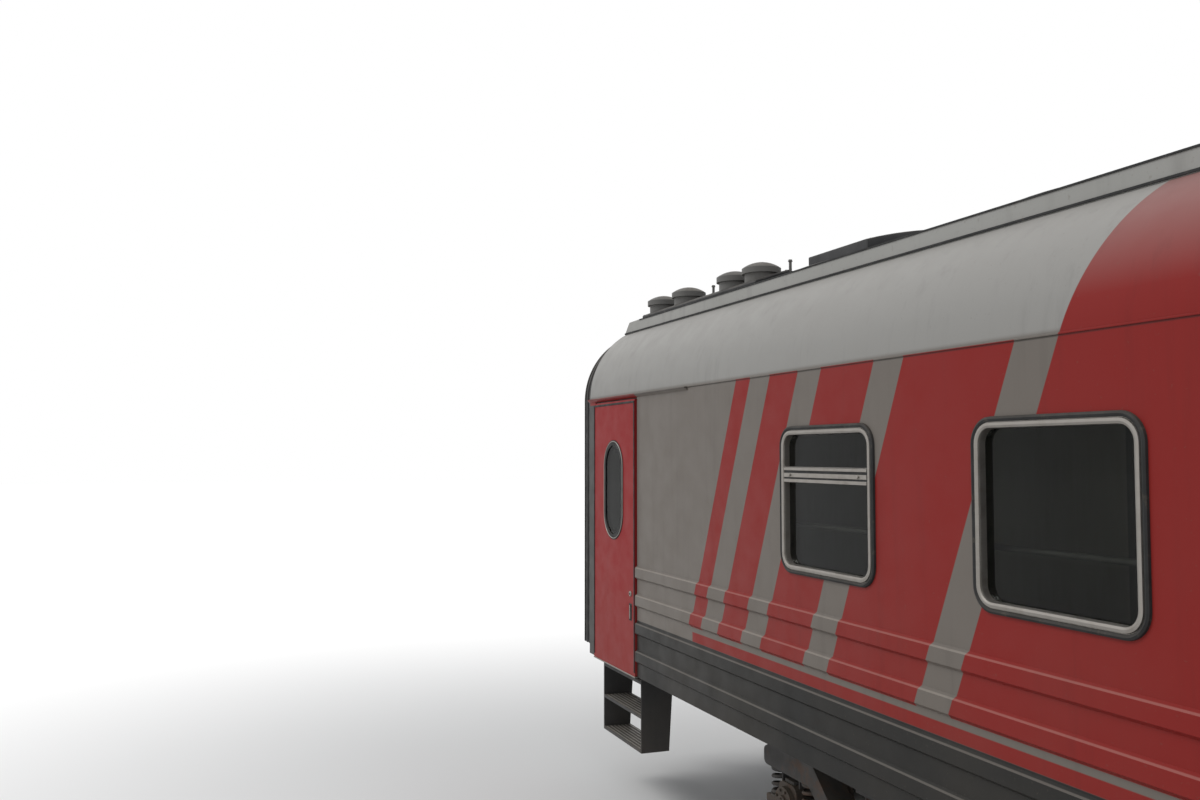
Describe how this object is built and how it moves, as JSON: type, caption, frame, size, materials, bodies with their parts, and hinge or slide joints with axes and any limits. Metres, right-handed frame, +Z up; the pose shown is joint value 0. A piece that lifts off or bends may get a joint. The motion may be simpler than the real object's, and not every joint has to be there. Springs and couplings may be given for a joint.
{
  "type": "passenger coach",
  "caption": "Long-distance passenger coach with ribbed grey sides, red entry doors, raised roof deck and turning bogies.",
  "frame": {"origin": "mid-length and mid-width of the coach, at the lowest point of the wheel flanges; the rail top is 28 mm above it", "axes": "+X along the coach towards end b, +Y towards the compartment side, +Z up"},
  "size_m": [25.5, 3.117, 4.4233],
  "materials": {
    "body_paint": "light grey paint with a dark grey lower side, a red stripe and red fields, satin",
    "roof_paint": "grey roof paint, dusty, matte",
    "fan_paint": "grey painted fan cowls, dusty",
    "dark_paint": "dark grey paint, dusty, matte",
    "bogie_paint": "dark grey paint with brake dust, matte",
    "door_paint": "bright red paint, satin",
    "rubber": "black rubber seals",
    "fairing_rubber": "dark grey reinforced rubber, matte",
    "glass": "tinted window glass",
    "window_metal": "brushed aluminium",
    "cast": "cast steel, dusty",
    "wheel_steel": "rolled steel with brown dust, bright treads",
    "lamp_plastic": "red lens in a dark rim",
    "floor_lino": "speckled floor covering",
    "lining": "warm pale lining panels",
    "berth_fabric": "woven berth covers"
  },
  "bodies": {
    "carbody": {"air_tanks": "dark_paint", "berths": "berth_fabric", "body_bolsters": "dark_paint", "buffers": "cast", "ceiling": "lining", "corridor_wall": "lining", "couplers": "cast", "cross_bars": "dark_paint", "cross_walls": "lining", "door_gutters": "body_paint", "door_seals": "rubber", "end_walls": "body_paint", "entry_door_glass": "glass", "entry_door_rubbers": "rubber", "entry_doors": "door_paint", "entry_steps": "dark_paint", "equipment_boxes": "dark_paint", "fairings": "fairing_rubber", "fan_cowls": "fan_paint", "floor_plate": "floor_lino", "gangway_rings": "fairing_rubber", "handrail": "window_metal", "headstocks": "dark_paint", "partitions": "lining", "roof_deck": "roof_paint", "roof_equipment": "dark_paint", "roof_shell": "body_paint", "side_walls": "body_paint", "sole_bars": "dark_paint", "tables": "lining", "tail_lamps": "lamp_plastic", "window_frames": "window_metal", "window_glass": "glass"},
    "bogie_a": {"bogie_frame_a": "bogie_paint", "bogie_bolster_a": "bogie_paint", "bogie_springs_a": "bogie_paint", "axle_boxes_a": "cast", "brake_gear_a": "bogie_paint"},
    "wheels_a1": {"wheelset_a1": "wheel_steel"},
    "wheels_a2": {"wheelset_a2": "wheel_steel"},
    "end_door_a": {"gangway_door_a": "door_paint", "gangway_pane_a": "glass"},
    "bogie_b": {"bogie_frame_b": "bogie_paint", "bogie_bolster_b": "bogie_paint", "bogie_springs_b": "bogie_paint", "axle_boxes_b": "cast", "brake_gear_b": "bogie_paint"},
    "wheels_b1": {"wheelset_b1": "wheel_steel"},
    "wheels_b2": {"wheelset_b2": "wheel_steel"},
    "end_door_b": {"gangway_door_b": "door_paint", "gangway_pane_b": "glass"}
  },
  "joints": [
    {"name": "bogie_turn_a", "type": "hinge", "parent": "carbody", "child": "bogie_a", "pos_m": [-8.5, 0, 1], "axis": [0, 0, 1], "range_deg": [-4, 4]},
    {"name": "wheel_turn_a1", "type": "hinge", "parent": "bogie_a", "child": "wheels_a1", "pos_m": [-9.7, 0, 0.5065], "axis": [0, 1, 0], "continuous": true},
    {"name": "wheel_turn_a2", "type": "hinge", "parent": "bogie_a", "child": "wheels_a2", "pos_m": [-7.3, 0, 0.5065], "axis": [0, 1, 0], "continuous": true},
    {"name": "end_door_swing_a", "type": "hinge", "parent": "carbody", "child": "end_door_a", "pos_m": [-12.354, -0.426, 2.3], "axis": [0, 0, -1], "range_deg": [0, 90]},
    {"name": "bogie_turn_b", "type": "hinge", "parent": "carbody", "child": "bogie_b", "pos_m": [8.5, 0, 1], "axis": [0, 0, 1], "range_deg": [-4, 4]},
    {"name": "wheel_turn_b1", "type": "hinge", "parent": "bogie_b", "child": "wheels_b1", "pos_m": [7.3, 0, 0.5065], "axis": [0, 1, 0], "continuous": true},
    {"name": "wheel_turn_b2", "type": "hinge", "parent": "bogie_b", "child": "wheels_b2", "pos_m": [9.7, 0, 0.5065], "axis": [0, 1, 0], "continuous": true},
    {"name": "end_door_swing_b", "type": "hinge", "parent": "carbody", "child": "end_door_b", "pos_m": [12.354, 0.426, 2.3], "axis": [0, 0, -1], "range_deg": [0, 90]}
  ]
}
